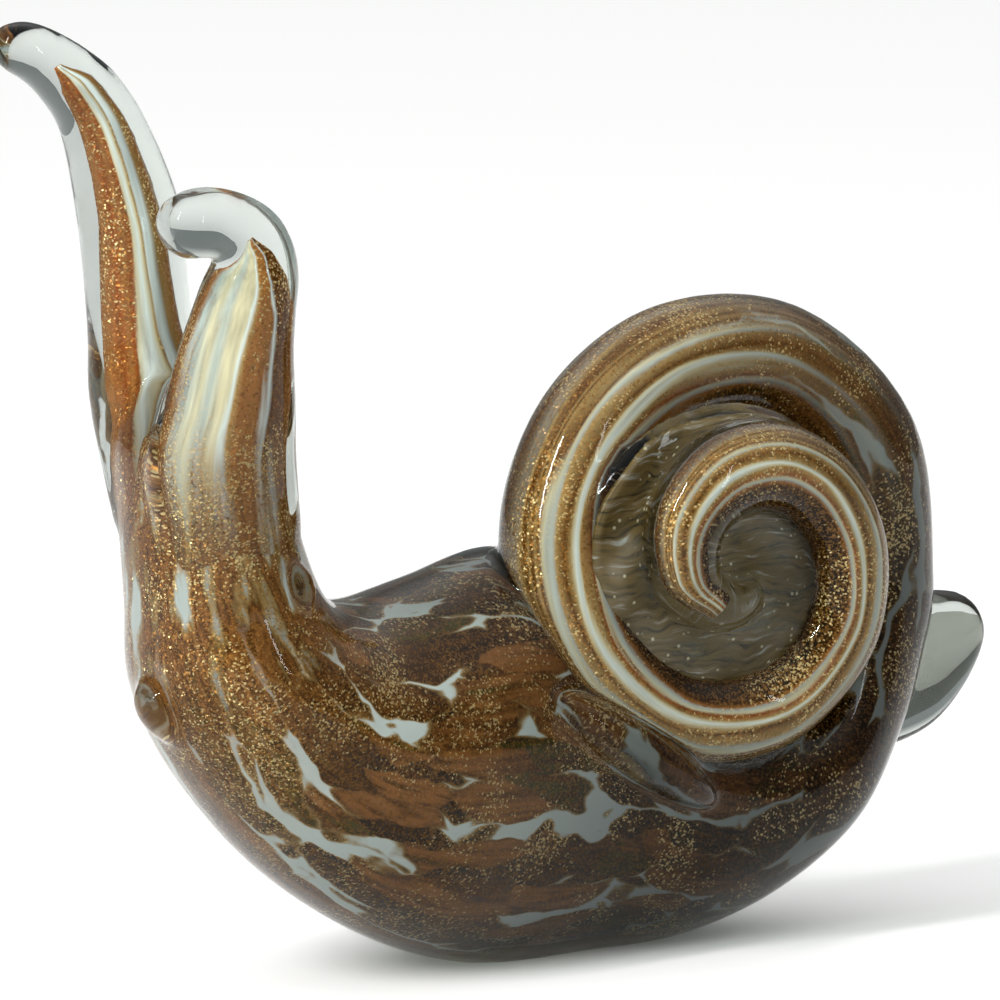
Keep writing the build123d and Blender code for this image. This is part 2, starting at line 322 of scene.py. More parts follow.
def drawn_tube(name: str, ribs: Sequence[Rib], draws: Sequence[Draw], start: Side, end: Side,
               around: int, steps: int) -> bpy.types.Mesh:
    """A mass of glass drawn through its ribs, with its flow kept for the patterns.

    The flow attribute holds the length along the mass and the place round it, all in metres, as if
    the mass had been laid straight. The draw attribute holds the patches passed so far, the comb and
    the streak.

    Args:
        name: The mesh's name.
        ribs: The slices across it.
        draws: How the glass is drawn at each slice.
        start: How the first slice is closed.
        end: How the last slice is closed.
        around: Points round each ring.
        steps: Rings to each span.

    Returns:
        The mesh, in metres.
    """
    filled = smooth_ribs(ribs, steps)
    bm = bmesh.new()
    flow_layer = bm.verts.layers.float_vector.new("flow")
    draw_layer = bm.verts.layers.float_vector.new("draw")
    rings = []
    travelled = 0.0
    patches = 0.0
    for i, rib in enumerate(filled):
        low, part = divmod(i, steps)
        draw = draws[low].mix(draws[min(low + 1, len(draws) - 1)], part / steps)
        if i:
            step = (rib.middle() - filled[i - 1].middle()).length
            travelled += step * MM
            patches += step / draw.patch
        made = bmesh.ops.create_circle(bm, cap_ends=False, segments=around, radius=1.0,
                                       matrix=rib.matrix(max(draw.share, LEAST_SHARE)))
        mean = (rib.chord().length + rib.half) / 2 * draw.share * MM
        for k, vert in enumerate(made["verts"]):
            angle = 2 * pi * k / around
            # a circle's points start at its second axis and turn away from its first
            vert[flow_layer] = Vector((travelled, -mean * sin(angle), mean * cos(angle)))
            vert[draw_layer] = Vector((patches, draw.comb, draw.streak))
        rings.append(made["verts"])
    for first, second in zip(rings, rings[1:]):
        edges = {e for v in first for e in v.link_edges if e.other_vert(v) in first}
        edges |= {e for v in second for e in v.link_edges if e.other_vert(v) in second}
        bmesh.ops.bridge_loops(bm, edges=list(edges))
    for ring, side in ((rings[0], start), (rings[-1], end)):
        cap = bmesh.ops.contextual_create(bm, geom=ring)["faces"]
        if side is Side.POINT:
            bmesh.ops.poke(bm, faces=cap)
    bmesh.ops.recalc_face_normals(bm, faces=bm.faces)
    return as_mesh(bm, name)


@dataclass(frozen=True)
class ClearGather:
    """Soda-lime glass gathered clear over the colour and fire-polished.

    It gives the eye a hard wet gloss, a faint grey-green body where it is thick, and an enlarged,
    bent view of what lies inside. The grey tint of its gloss keeps the white room from veiling that.
    """

    name: str = "clear soda-lime glass"
    ior: float = 1.5
    roughness: float = 0.0
    density: float = 24.0

    def material(self) -> bpy.types.Material:
        """Builds the clear glass; shadow rays pass it, so that the lamps reach the colour inside."""
        material, tree = new_material(self.name)
        tint = linear(Shade.CLEAR)
        shader = node(tree, "BsdfPrincipled", inputs={
            "Base Color": tint, "Roughness": self.roughness, "IOR": self.ior,
            "Transmission Weight": 1.0, "Specular Tint": linear(Shade.GLOSS),
        })
        path = node(tree, "LightPath")
        opening = node(tree, "BsdfTransparent", inputs={"Color": tint})
        mixed = node(tree, "MixShader", inputs={
            0: path.outputs["Is Shadow Ray"], 1: shader.outputs["BSDF"], 2: opening.outputs["BSDF"],
        })
        body = node(tree, "VolumeAbsorption", inputs={
            "Color": linear(Shade.DEPTH), "Density": self.density,
        })
        node(tree, "OutputMaterial", inputs={
            "Surface": mixed.outputs["Shader"], "Volume": body.outputs["Volume"],
        })
        return material


@dataclass(frozen=True)
class Flow:
    """What the patterns of a coloured mass are laid along, as nodes and sockets of its material.

    Attributes:
        tree: The node tree.
        place: The place on the object.
        laid: The length along the mass and the place round it, as a vector.
        along: The same as numbers.
        drawn: The patches passed, the comb and the streak, as numbers.
        grain: The fine threads along the mass, round zero.
    """

    tree: bpy.types.NodeTree
    place: bpy.types.NodeSocket
    laid: bpy.types.NodeSocket
    along: bpy.types.Node
    drawn: bpy.types.Node
    grain: bpy.types.Node


@dataclass(frozen=True)
class RolledColour:
    """Opal white glass rolled in crushed copper-flecked brown, then drawn out in the heat.

    It gives the eye long brown patches with ragged white gaps between them, soft streaks and bands
    where the glass was drawn far, and gold sparks where copper crystals face the light, the brightest
    of them painted glints. Painted shade darkens a mass over a stretch of its length.
    """

    name: str
    bands: Stops
    # painted shade: how much darker the colour is painted under the shell and round the coil's start, the
    # lengths along the mass over which that shade falls and lifts again, the share of that shade that
    # lifts, and the painted light level before it falls
    painted_shade: float = 0.0
    shade_falls: Pair = (30.0, 105.0)
    shade_lifts: Pair = (140.0, 205.0)
    light_regained: float = 0.8
    painted_light_level: float = 1.05
    # the fine threads that run along every mass: their length and width
    threads: Pair = (26.0, 0.8)
    # a patch is this wide, and bent by slow waves, as the gather was turned and pulled, and by a quick
    # one that rounds it: each wave's size, and its reach in patches
    patch_width: float = 3.6
    waves: tuple[tuple[float, Triple], ...] = ((17.0, (0.8, 1.6, 1.6)), (4.5, (0.22, 0.55, 0.55)))
    patch_browns: Stops = (
        (0.0, Shade.DARK), (0.2, Shade.UMBER), (0.42, Shade.BROWN), (0.62, Shade.COPPER),
        (0.78, Shade.BROWN), (0.9, Shade.MOSS), (1.0, Shade.UMBER),
    )
    tone_grain: float = 0.9
    # the gaps, in patch widths: how often they open, their width before the noise that opens them, how
    # much wider they get away from a patch's middle, and how ragged the threads make them
    gap_rate: float = 0.95
    gap_width: float = -0.91
    gap_spread: float = 0.6
    gap_ragged: float = 0.12
    # over these distances from a gap's edge the white turns to sand, the sand to brown, and the brown
    # from the light of its dark rim to its full light
    sand_edge: Pair = (-0.07, 0.02)
    brown_edge: Pair = (-0.03, 0.09)
    rim: Pair = (0.02, 0.2)
    rim_light: Pair = (0.5, 1.08)
    # soft streaks: their length and width, how much the threads show in them, and their light
    streak_size: Pair = (46.0, 3.4)
    streak_grain: float = 0.3
    streak_light: float = 0.66
    streak_browns: Stops = (
        (0.26, Shade.OPAL_SHADE), (0.33, Shade.SAND), (0.4, Shade.BROWN), (0.47, Shade.COPPER),
        (0.54, Shade.BROWN), (0.59, Shade.COPPER), (0.64, Shade.SAND), (0.72, Shade.OPAL),
    )
    # bands stray in waves of this length and width, by this share of a turn, and the threads fray them
    # by the next; the threads also lighten and darken them over this range
    stray_size: Pair = (34.0, 3.0)
    stray: float = 0.13
    fray: float = 0.035
    thread_depth: Pair = (-0.2, 0.2)
    thread_light: Pair = (0.7, 1.15)
    # copper crystals, 0.1 to 0.4 mm across in the real glass: their size here, the size of the clouds
    # in which they crowd and how strongly, the levels past which they show as dust and as painted
    # glints, and how much gold and metal the dust has
    fleck: float = 0.22
    cloud: float = 9.0
    crowding: float = 0.8
    dust: Pair = (0.9, 1.05)
    glint_levels: Pair = (1.3, 1.36)
    dust_cover: float = 0.42
    dust_metal: float = 0.6
    # a painted glint keeps this much of its gold where painted shade falls, and gains this much more with
    # the painted light level
    glint_base: float = 0.25
    glint_gain: float = 0.7
    # brightness from which the glass is too white to hold crystals, and at which it holds them all
    holds: Pair = (0.5, 0.2)

    def patches(self, flow: Flow) -> bpy.types.Node:
        """Colours the patches that the crushed glass melted to, and the white between them.

        Args:
            flow: What they are laid along.

        Returns:
            The node that gives the colour.
        """
        tree = flow.tree
        counted = node(tree, "CombineXYZ", inputs={
            0: flow.drawn.outputs[0], 1: flow.along.outputs[1], 2: flow.along.outputs[2],
        })
        across = scale_of(self.patch_width)
        bent = node(tree, "VectorMath", TIMES, {0: counted, 1: (1.0, across, across)})
        for size, reach in self.waves:
            wave = node(tree, "TexNoise", inputs={
                "Vector": flow.place, "Scale": scale_of(size), "Detail": 1.5,
            })
            bent = node(tree, "VectorMath", TIMES_PLUS, {0: wave.outputs["Color"], 1: reach, 2: bent})
        rim = node(tree, "TexVoronoi", {"feature": "DISTANCE_TO_EDGE"}, {"Vector": bent, "Scale": 1.0})
        cell = node(tree, "TexVoronoi", NEAREST, {"Vector": bent, "Scale": 1.0})
        tone = node(tree, "SeparateColor", inputs={0: cell.outputs["Color"]})
        # the gaps open and close along the patches' edges, and are widest where three patches meet
        opening = node(tree, "TexNoise", inputs={"Vector": bent, "Scale": self.gap_rate, "Detail": 1.0})
        wide = node(tree, "Math", PLUS, {0: opening, 1: self.gap_width})
        gap = node(tree, "Math", TIMES_PLUS, {0: cell.outputs["Distance"], 1: self.gap_spread, 2: wide})
        depth = node(tree, "Math", MINUS, {0: rim.outputs["Distance"], 1: gap})
        edge = node(tree, "Math", TIMES_PLUS, {0: flow.grain, 1: self.gap_ragged, 2: depth})
        level = node(tree, "Math", TIMES_PLUS, {0: flow.grain, 1: self.tone_grain, 2: tone.outputs[1]})
        brown = node(tree, "ValToRGB", inputs={0: level})
        fill(brown, self.patch_browns)
        body = node(tree, "MapRange", inputs={
            "Value": depth, "From Min": self.rim[0], "From Max": self.rim[1],
            "To Min": self.rim_light[0], "To Max": self.rim_light[1],
        })
        shaded = node(tree, "VectorMath", SCALED, {0: brown, "Scale": body})
        thin, thick = [node(tree, "MapRange", EASED, {
            "Value": edge, "From Min": low, "From Max": high,
        }) for low, high in (self.sand_edge, self.brown_edge)]
        sanded = node(tree, "Mix", COLOURS, {
            "Factor": thin, "A": linear(Shade.OPAL), "B": linear(Shade.SAND),
        })
        return node(tree, "Mix", COLOURS, {"Factor": thick, "A": sanded, "B": shaded})

    def streaks(self, flow: Flow) -> bpy.types.Node:
        """Colours the soft streaks that patches are drawn to where the neck was pulled up.

        Args:
            flow: What they are laid along.

        Returns:
            The node that gives the colour.
        """
        tree = flow.tree
        drawn = node(tree, "VectorMath", TIMES, {0: flow.laid, 1: drawn_scale(*self.streak_size)})
        wide = node(tree, "TexNoise", inputs={"Vector": drawn, "Scale": 1.0, "Detail": 1.0})
        level = node(tree, "Math", TIMES_PLUS, {0: flow.grain, 1: self.streak_grain, 2: wide})
        streak = node(tree, "ValToRGB", inputs={0: level})
        fill(streak, self.streak_browns)
        return node(tree, "VectorMath", SCALED, {0: streak, "Scale": self.streak_light})

    def stripes(self, flow: Flow) -> bpy.types.Node:
        """Colours the bands that run along a mass, by the angle round it.

        Args:
            flow: What they are laid along.

        Returns:
            The node that gives the colour.
        """
        tree = flow.tree
        turn = node(tree, "Math", {"operation": "ARCTAN2"}, {
            0: flow.along.outputs[2], 1: flow.along.outputs[1],
        })
        angle = node(tree, "Math", TIMES_PLUS, {0: turn, 1: 0.5 / pi, 2: 0.5})
        braid = node(tree, "VectorMath", TIMES, {0: flow.laid, 1: drawn_scale(*self.stray_size)})
        wave = node(tree, "TexNoise", inputs={"Vector": braid, "Scale": 1.0, "Detail": 1.0})
        centred = node(tree, "Math", MINUS, {0: wave, 1: 0.5})
        strayed = node(tree, "Math", TIMES_PLUS, {0: centred, 1: self.stray, 2: angle})
        frayed = node(tree, "Math", TIMES_PLUS, {0: flow.grain, 1: self.fray, 2: strayed})
        band = node(tree, "ValToRGB", inputs={0: frayed})
        fill(band, self.bands)
        level = node(tree, "MapRange", inputs={
            "Value": flow.grain, "From Min": self.thread_depth[0], "From Max": self.thread_depth[1],
            "To Min": self.thread_light[0], "To Max": self.thread_light[1],
        })
        return node(tree, "VectorMath", SCALED, {0: band, "Scale": level})

    def crystals(self, flow: Flow, colour: bpy.types.Node, level: bpy.types.Node) -> bpy.types.Node:
        """Scatters copper crystals through the brown, at every tilt and thicker in some places.

        Args:
            flow: What the glass is laid along.
            colour: The glass's colour without them.
            level: The painted light level, lowered where painted shade falls; it dims the colour, the dust
                and the glints.

        Returns:
            The shader.
        """
        tree = flow.tree
        grey = node(tree, "RGBToBW", inputs={0: colour})
        # painted shade: the colour is darkened by the painted light level
        colour_in_painted_shade = node(tree, "VectorMath", SCALED, {0: colour, "Scale": level})
        brown = node(tree, "MapRange", EASED, {
            "Value": grey, "From Min": self.holds[0], "From Max": self.holds[1],
        })
        crystal = node(tree, "TexVoronoi", NEAREST, {"Vector": flow.place, "Scale": scale_of(self.fleck)})
        chance = node(tree, "SeparateColor", inputs={0: crystal.outputs["Color"]})
        drift = node(tree, "TexNoise", inputs={
            "Vector": flow.place, "Scale": scale_of(self.cloud), "Detail": 1.0,
        })
        crowd = node(tree, "Math", TIMES_PLUS, {0: drift, 1: self.crowding, 2: chance.outputs[0]})
        shares = []
        for low, high in (self.dust, self.glint_levels):
            dense = node(tree, "MapRange", EASED, {"Value": crowd, "From Min": low, "From Max": high})
            shares.append(node(tree, "Math", TIMES, {0: dense, 1: brown}))
        dust, painted_glint = shares
        # the dust's gold cover and its metal are dimmed where painted shade falls
        dust_in_painted_light = node(tree, "Math", TIMES, {0: dust, 1: level})
        faint = node(tree, "Math", TIMES, {0: dust_in_painted_light, 1: self.dust_cover})
        dusted = node(tree, "Mix", COLOURS, {"Factor": faint, "A": colour_in_painted_shade, "B": linear(Shade.GLINT)})
        # painted glints: the brightest crystals are painted near white, brighter where the painted light
        # level is higher
        seen = node(tree, "Math", TIMES_PLUS, {0: level, 1: self.glint_gain, 2: self.glint_base})
        glint_share = node(tree, "Math", TIMES, {0: painted_glint, 1: seen})
        flecked = node(tree, "Mix", COLOURS, {"Factor": glint_share, "A": dusted, "B": linear(Shade.FLECK_GLINT)})
        # each crystal's own random colour, round zero, tips its face
        loose = node(tree, "VectorMath", MINUS, {0: crystal.outputs["Color"], 1: (0.5, 0.5, 0.5)})
        tilt = node(tree, "VectorMath", SCALED, {0: loose, "Scale": dust})
        surface = node(tree, "NewGeometry").outputs["Normal"]
        tipped = node(tree, "VectorMath", PLUS, {0: surface, 1: tilt})
        facing = node(tree, "VectorMath", {"operation": "NORMALIZE"}, {0: tipped})
        metal = node(tree, "Math", TIMES, {0: dust_in_painted_light, 1: self.dust_metal})
        return node(tree, "BsdfPrincipled", inputs={
            "Base Color": flecked, "Roughness": 0.4, "Specular IOR Level": 0.0, "Metallic": metal,
            "Normal": facing,
        })

    def material(self) -> bpy.types.Material:
        """Builds the coloured glass from the flow along and round each mass."""
        material, tree = new_material(self.name)
        laid = node(tree, "Attribute", {"attribute_name": "flow"}).outputs["Vector"]
        drawn = node(tree, "Attribute", {"attribute_name": "draw"}).outputs["Vector"]
        fine = node(tree, "VectorMath", TIMES, {0: laid, 1: drawn_scale(*self.threads)})
        thread = node(tree, "TexNoise", inputs={"Vector": fine, "Scale": 1.0, "Detail": 3.0})
        flow = Flow(tree=tree, laid=laid, place=node(tree, "TexCoord").outputs["Object"],
                    along=node(tree, "SeparateXYZ", inputs={0: laid}),
                    drawn=node(tree, "SeparateXYZ", inputs={0: drawn}),
                    grain=node(tree, "Math", MINUS, {0: thread, 1: 0.5}))
        soft = node(tree, "Mix", COLOURS, {
            "Factor": flow.drawn.outputs[2], "A": self.patches(flow), "B": self.streaks(flow),
        })
        whole = node(tree, "Mix", COLOURS, {
            "Factor": flow.drawn.outputs[1], "A": soft, "B": self.stripes(flow),
        })
        # painted shade: the colour darkens from the foot of the neck to under the shell and the coil's dark
        # right side, where the key light falls off, and lightens again as the coil turns up to its lit left
        # side
        level = self.painted_light_level
        changes = ((self.shade_falls, -self.painted_shade), (self.shade_lifts, self.light_regained * self.painted_shade))
        for (begins, ends), change in changes:
            passed = node(tree, "MapRange", EASED, {
                "Value": flow.along.outputs[0], "From Min": begins * MM, "From Max": ends * MM,
            })
            level = node(tree, "Math", TIMES_PLUS, {0: passed, 1: change, 2: level})
        node(tree, "OutputMaterial", inputs={"Surface": self.crystals(flow, whole, level)})
        return material


@dataclass(frozen=True)
class StreakedShadeFilm:
    """A thin film of streaked glass whose dim grey-brown is painted shade for what the clear glass shows.

    It gives the eye a dim, wavy grey-brown depth with milky streaks and a few painted glints of seed
    bubbles.
    """

    name: str = "smoky glass film with seed bubbles"
    # streaks: their length in X and Y, their width in Z and their shades
    streak: float = 5.0
    grain: float = 0.6
    shades: Stops = (
        (0.3, Shade.SOOT_SHADE), (0.5, Shade.SMOKE), (0.58, Shade.SMOKE), (0.66, Shade.TAUPE),
        (0.74, Shade.OPAL_SHADE),
    )
    # the wave that sways the streaks: its size and its reach
    wave: float = 7.0
    sway: Triple = (6.0, 6.0, 5.0)
    # where that wave lies between these levels, the film goes from its open to its dense cover
    clouds: Pair = (0.35, 0.6)
    cover: Pair = (0.7, 0.97)
    tint: Shade = Shade.OPAL_SHADE
    # painted glints of seed bubbles: their spacing, their edge as a share of it, and the chance that a
    # place holds none
    seed_spacing: float = 0.7
    seed_edge: Pair = (0.4, 0.2)
    seedless: float = 0.92

    def material(self) -> bpy.types.Material:
        """Builds the film: streaks that run across it, dense in places and open in others."""
        material, tree = new_material(self.name)
        place = node(tree, "TexCoord").outputs["Object"]
        wave = node(tree, "TexNoise", inputs={
            "Vector": place, "Scale": scale_of(self.wave), "Detail": 2.0,
        })
        bent = node(tree, "VectorMath", TIMES_PLUS, {
            0: wave.outputs["Color"], 1: tuple(reach * MM for reach in self.sway), 2: place,
        })
        drawn = node(tree, "VectorMath", TIMES, {
            0: bent, 1: (scale_of(self.streak), scale_of(self.streak), scale_of(self.grain)),
        })
        milk = node(tree, "TexNoise", inputs={"Vector": drawn, "Scale": 1.0, "Detail": 4.0})
        shade = node(tree, "ValToRGB", inputs={0: milk})
        fill(shade, self.shades)
        seed = node(tree, "TexVoronoi", NEAREST, {"Vector": place, "Scale": scale_of(self.seed_spacing)})
        # painted glints: a few seed bubbles are painted as bright cream dots
        painted_glint = node(tree, "MapRange", inputs={
            "Value": seed.outputs["Distance"], "From Min": self.seed_edge[0], "From Max": self.seed_edge[1],
        })
        chance = node(tree, "SeparateColor", inputs={0: seed.outputs["Color"]})
        few = node(tree, "Math", {"operation": "GREATER_THAN"}, {0: chance, 1: self.seedless})
        lit = node(tree, "Math", TIMES, {0: painted_glint, 1: few})
        coloured = node(tree, "Mix", COLOURS, {"Factor": lit, "A": shade, "B": linear(Shade.CREAM)})
        film = node(tree, "BsdfPrincipled", inputs={"Base Color": coloured, "Roughness": 0.25})
        open_glass = node(tree, "BsdfTransparent", inputs={"Color": linear(self.tint)})
        cover = node(tree, "MapRange", inputs={
            "Value": wave.outputs["Fac"], "From Min": self.clouds[0], "From Max": self.clouds[1],
            "To Min": self.cover[0], "To Max": self.cover[1],
        })
        mixed = node(tree, "MixShader", inputs={0: cover, 1: open_glass, 2: film})
        node(tree, "OutputMaterial", inputs={"Surface": mixed})
        return material


@dataclass(frozen=True)
class SnailGlass:
    """The ribs that every mass of the snail is drawn through."""

    # the rise between the two horns
    crotch: tuple[Rib, ...] = (
        Rib(-41.5, 78.0, -52.0, 78.0, -1.1, 2.0),
        Rib(-39.5, 75.5, -53.5, 75.5, -1.1, 8.0),
        Rib(-37.6, 72.5, -55.0, 72.5, -1.1, 11.5),
    )
    # from the top of the neck, down it and along the body to where the coil begins
    body: tuple[Rib, ...] = tuple(Rib(*row) for row in (
        (-36.3, 68.6, -56.1, 68.6, -1.1, 13.2),
        (-34.1, 59.4, -55.4, 59.4, -1.1, 13.0),
        (-31.4, 51.8, -54.5, 48.6, -1.1, 14.0),
        (-29.2, 48.6, -53.6, 38.2, -1.1, 16.0),
        (-26.4, 47.8, -47.9, 27.0, -0.6, 18.0),
        (-22.0, 47.8, -36.3, 13.8, -0.1, 19.2),
        (-13.2, 49.8, -20.9, 3.8, 0.9, 20.0),
        (-1.7, 52.2, -6.1, -0.8, 2.4, 19.0),
        (9.9, 47.8, 8.2, -0.8, 2.9, 17.6),
        (20.9, 37.8, 22.0, 0.2, 2.6, 17.0),
        (30.2, 32.6, 34.6, 4.5, 2.4, 15.8),
        (37.4, 32.6, 45.6, 12.6, 1.9, 14.4),
        (40.1, 39.0, 53.9, 24.6, 2.4, 12.0),
        (40.3, 42.7, 57.3, 33.0, 2.3, 10.4),
    ))
    # the coil's middle, and its turn, outer radius, tube and place across at each rib
    coil_centre: Pair = (23.63, 51.04)
    coil: tuple[tuple[float, float, float, float], ...] = (
        (-14, 36.8, 18.5, 2.2),
        (22.5, 35.5, 17.4, 2.4),
        (60, 33.1, 16.5, 1.9),
        (97.5, 30.5, 16.2, 0.4),
        (135, 29.1, 16.4, -2.0),
        (172.5, 28.9, 16.4, -4.7),
        (210, 28.9, 15.4, -7.5),
        (247.5, 28.0, 13.5, -9.8),
        (285, 25.8, 11.8, -11.9),
        (322.5, 22.8, 11.1, -13.6),
        (360, 19.9, 10.9, -14.7),
        (397.5, 18.4, 11.1, -15.3),
        (435, 18.0, 11.5, -15.8),
        (472.5, 17.5, 11.5, -16.1),
        (510, 16.2, 10.5, -16.3),
        (547.5, 13.8, 8.9, -16.4),
        (585, 10.7, 7.0, -16.4),
        (615, 8.3, 5.5, -16.3),
        (645, 5.9, 4.1, -16.1),
    )
    far_horn: tuple[Rib, ...] = tuple(Rib(*row) for row in (
        (-35.0, 58.6, -54.5, 58.6, 4.2, 6.5),
        (-36.3, 68.6, -56.1, 68.6, 5.7, 6.5),
        (-39.8, 75.4, -57.0, 75.4, 6.1, 6.6),
        (-42.9, 81.9, -56.7, 81.9, 6.6, 6.4),
        (-44.0, 89.4, -57.0, 89.4, 7.0, 6.5),
        (-44.8, 97.8, -57.8, 96.5, 7.1, 6.4),
        (-49.2, 109.0, -60.0, 107.8, 7.5, 5.5),
        (-53.4, 115.2, -63.3, 112.7, 7.5, 4.9),
        (-56.9, 118.1, -65.6, 114.7, 7.5, 4.4),
        (-60.3, 120.2, -67.6, 115.9, 7.5, 4.1),
        (-63.1, 121.5, -68.9, 117.1, 7.5, 3.5),
        (-65.8, 122.1, -69.6, 118.6, 7.5, 2.4),
        (-68.4, 121.6, -69.4, 120.5, 7.5, 0.7),
    ))
    near_horn: tuple[Rib, ...] = tuple(Rib(*row) for row in (
        (-34.8, 58.6, -54.3, 58.6, -6.2, 6.5),
        (-36.3, 68.6, -56.1, 68.6, -7.8, 6.5),
        (-36.7, 75.3, -53.8, 75.3, -8.3, 6.7),
        (-37.5, 81.9, -52.0, 81.9, -9.0, 6.9),
        (-37.5, 87.3, -50.3, 87.3, -9.7, 6.5),
        (-37.3, 90.9, -49.1, 91.1, -10.2, 5.9),
        (-38.0, 95.0, -48.2, 92.8, -10.5, 5.2),
        (-40.2, 98.9, -48.0, 93.6, -10.6, 4.8),
        (-44.1, 101.5, -48.6, 94.0, -10.6, 4.6),
        (-49.2, 102.8, -49.9, 94.0, -10.6, 4.4),
        (-52.8, 102.3, -52.3, 94.0, -10.6, 4.3),
        (-55.2, 100.8, -54.8, 95.5, -10.6, 2.9),
        (-56.1, 98.6, -56.0, 97.6, -10.6, 0.6),
    ))
    tail: tuple[Rib, ...] = tuple(Rib(*row) for row in (
        (46.0, 36.6, 46.0, 20.6, 3.6, 6.5),
        (52.2, 39.0, 52.2, 20.6, 4.2, 5.2),
        (57.4, 40.5, 57.4, 21.5, 4.5, 4.7),
        (61.8, 40.9, 61.8, 23.4, 4.5, 4.2),
        (65.6, 40.2, 65.6, 27.2, 4.5, 3.5),
        (68.2, 38.3, 68.2, 31.4, 4.5, 2.3),
        (69.5, 35.5, 69.5, 34.5, 4.5, 0.5),
    ))

    def coil_ribs(self) -> tuple[Rib, ...]:
        """The shell coil's ribs, from the body to its drawn tip."""
        return tuple(coil_rib(self.coil_centre, *row) for row in self.coil)


@dataclass(frozen=True)
class Bead:
    """A rounded bead of clear glass, with its sizes before it is turned about Z and then about Y."""

    name: str
    length: float
    height: float
    width: float
    centre: Triple
    lean: float = 0.0
    swing: float = 0.0

    def build(self) -> bpy.types.Object:
        """Makes the bead where it lies."""
        bm = bmesh.new()
        size = Matrix.Diagonal((self.length / 2 * MM, self.width / 2 * MM, self.height / 2 * MM, 1))
        turn = Matrix.Rotation(radians(self.lean), 4, "Y") @ Matrix.Rotation(radians(self.swing), 4, "Z")
        stand = Matrix.Translation(Vector(self.centre) * MM)
        bmesh.ops.create_icosphere(bm, subdivisions=4, radius=1.0, matrix=stand @ turn @ size)
        return placed(self.name, as_mesh(bm, self.name))


@dataclass
class ClearCasing:
    """The clear gather over the whole snail, with its tips, bits and tail."""

    glass: SnailGlass
    beads: tuple[Bead, ...] = (
        Bead("snout", 9, 5, 8, (-52.4, -3.1, 36.4), 55),
        Bead("prunt", 5, 7.4, 4.6, (-38.4, -12.9, 52.2), -10, -62),
        Bead("seat", 28, 7, 10, (7.7, -15.1, 28.2), 34),
        Bead("web", 40, 40, 7, (21.4, -12.2, 51.0)),
    )
    around: int = 40
    steps: int = 6
    voxel: float = 0.66
    # how strongly and how often the joined surface is drawn smooth, as surface tension does
    tension: float = 0.5
    passes: int = 10
    # the ground flat lies this far above the floor, so that the two don't flicker
    ground: float = 0.02

    def masses(self) -> list[bpy.types.Object]:
        """Draws every clear mass by itself."""
        g = self.glass
        drawn = (("gather", (*g.crotch, *g.body, *g.coil_ribs())), ("far", g.far_horn),
                 ("near", g.near_horn), ("tail", g.tail))
        made = []
        for name, ribs in drawn:
            draws = [Draw()] * len(ribs)
            made.append(placed(name, drawn_tube(name, ribs, draws, Side.CUT, Side.POINT,
                                                self.around, self.steps)))
        return made + [bead.build() for bead in self.beads]

    def flowed(self) -> bpy.types.Mesh:
        """Flows the clear masses into one smooth surface."""
        masses = self.masses()
        bm = bmesh.new()
        for mass in masses:
            bm.from_mesh(mass.data)
        flowing = placed("flowing", as_mesh(bm, "joined"))
        remesh = flowing.modifiers.new("one mass", "REMESH")
        remesh.mode = "VOXEL"
        remesh.voxel_size = self.voxel * MM
        soften = flowing.modifiers.new("surface tension", "SMOOTH")
        soften.factor = self.tension
        soften.iterations = self.passes
        graph = bpy.context.evaluated_depsgraph_get()
        mesh = bpy.data.meshes.new_from_object(flowing.evaluated_get(graph))
        for mass in masses + [flowing]:
            bpy.data.objects.remove(mass)
        return mesh

    def build(self, material: bpy.types.Material) -> None:
        """Flows the casing together, grinds its flat and dresses it.

        Args:
            material: The clear glass.
        """
        mesh = self.flowed()
        mesh.name = "clear_casing"
        bm = bmesh.new()
        bm.from_mesh(mesh)
        cut = bmesh.ops.bisect_plane(bm, geom=bm.verts[:] + bm.edges[:] + bm.faces[:],
                                     plane_co=(0, 0, self.ground * MM), plane_no=(0, 0, 1),
                                     clear_inner=True)
        rim = [e for e in cut["geom_cut"] if isinstance(e, bmesh.types.BMEdge)]
        bmesh.ops.holes_fill(bm, edges=rim)
        bm.to_mesh(mesh)
        bm.free()
        mesh.materials.clear()
        mesh.materials.append(material)
        piece = placed("clear_casing", mesh)
        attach(piece, "root")
        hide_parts("body_clear_casing", "shell_clear_casing", "far_horn_clear_casing",
                    "near_horn_clear_casing", "shell_tip", "shell_web", "shell_seat", "tail_tip",
                    "snout_bit", "neck_prunt")
        LOG.info("clear casing: %d faces", len(mesh.polygons))


@dataclass(frozen=True)
class Mass:
    """A coloured mass inside the casing.

    Attributes:
        name: Its piece's name.
        nodes: The nodes that it stands for.
        ribs: The slices that it is drawn through.
        draws: How the glass is drawn at each of them.
        bands: The colours round it where it is drawn to bands.
        painted_shade: How much painted shade darkens its colour under the shell and round the coil's start.
    """

    name: str
    nodes: tuple[str, ...]
    ribs: tuple[Rib, ...]
    draws: tuple[Draw, ...]
    bands: Stops
    painted_shade: float = 0.0


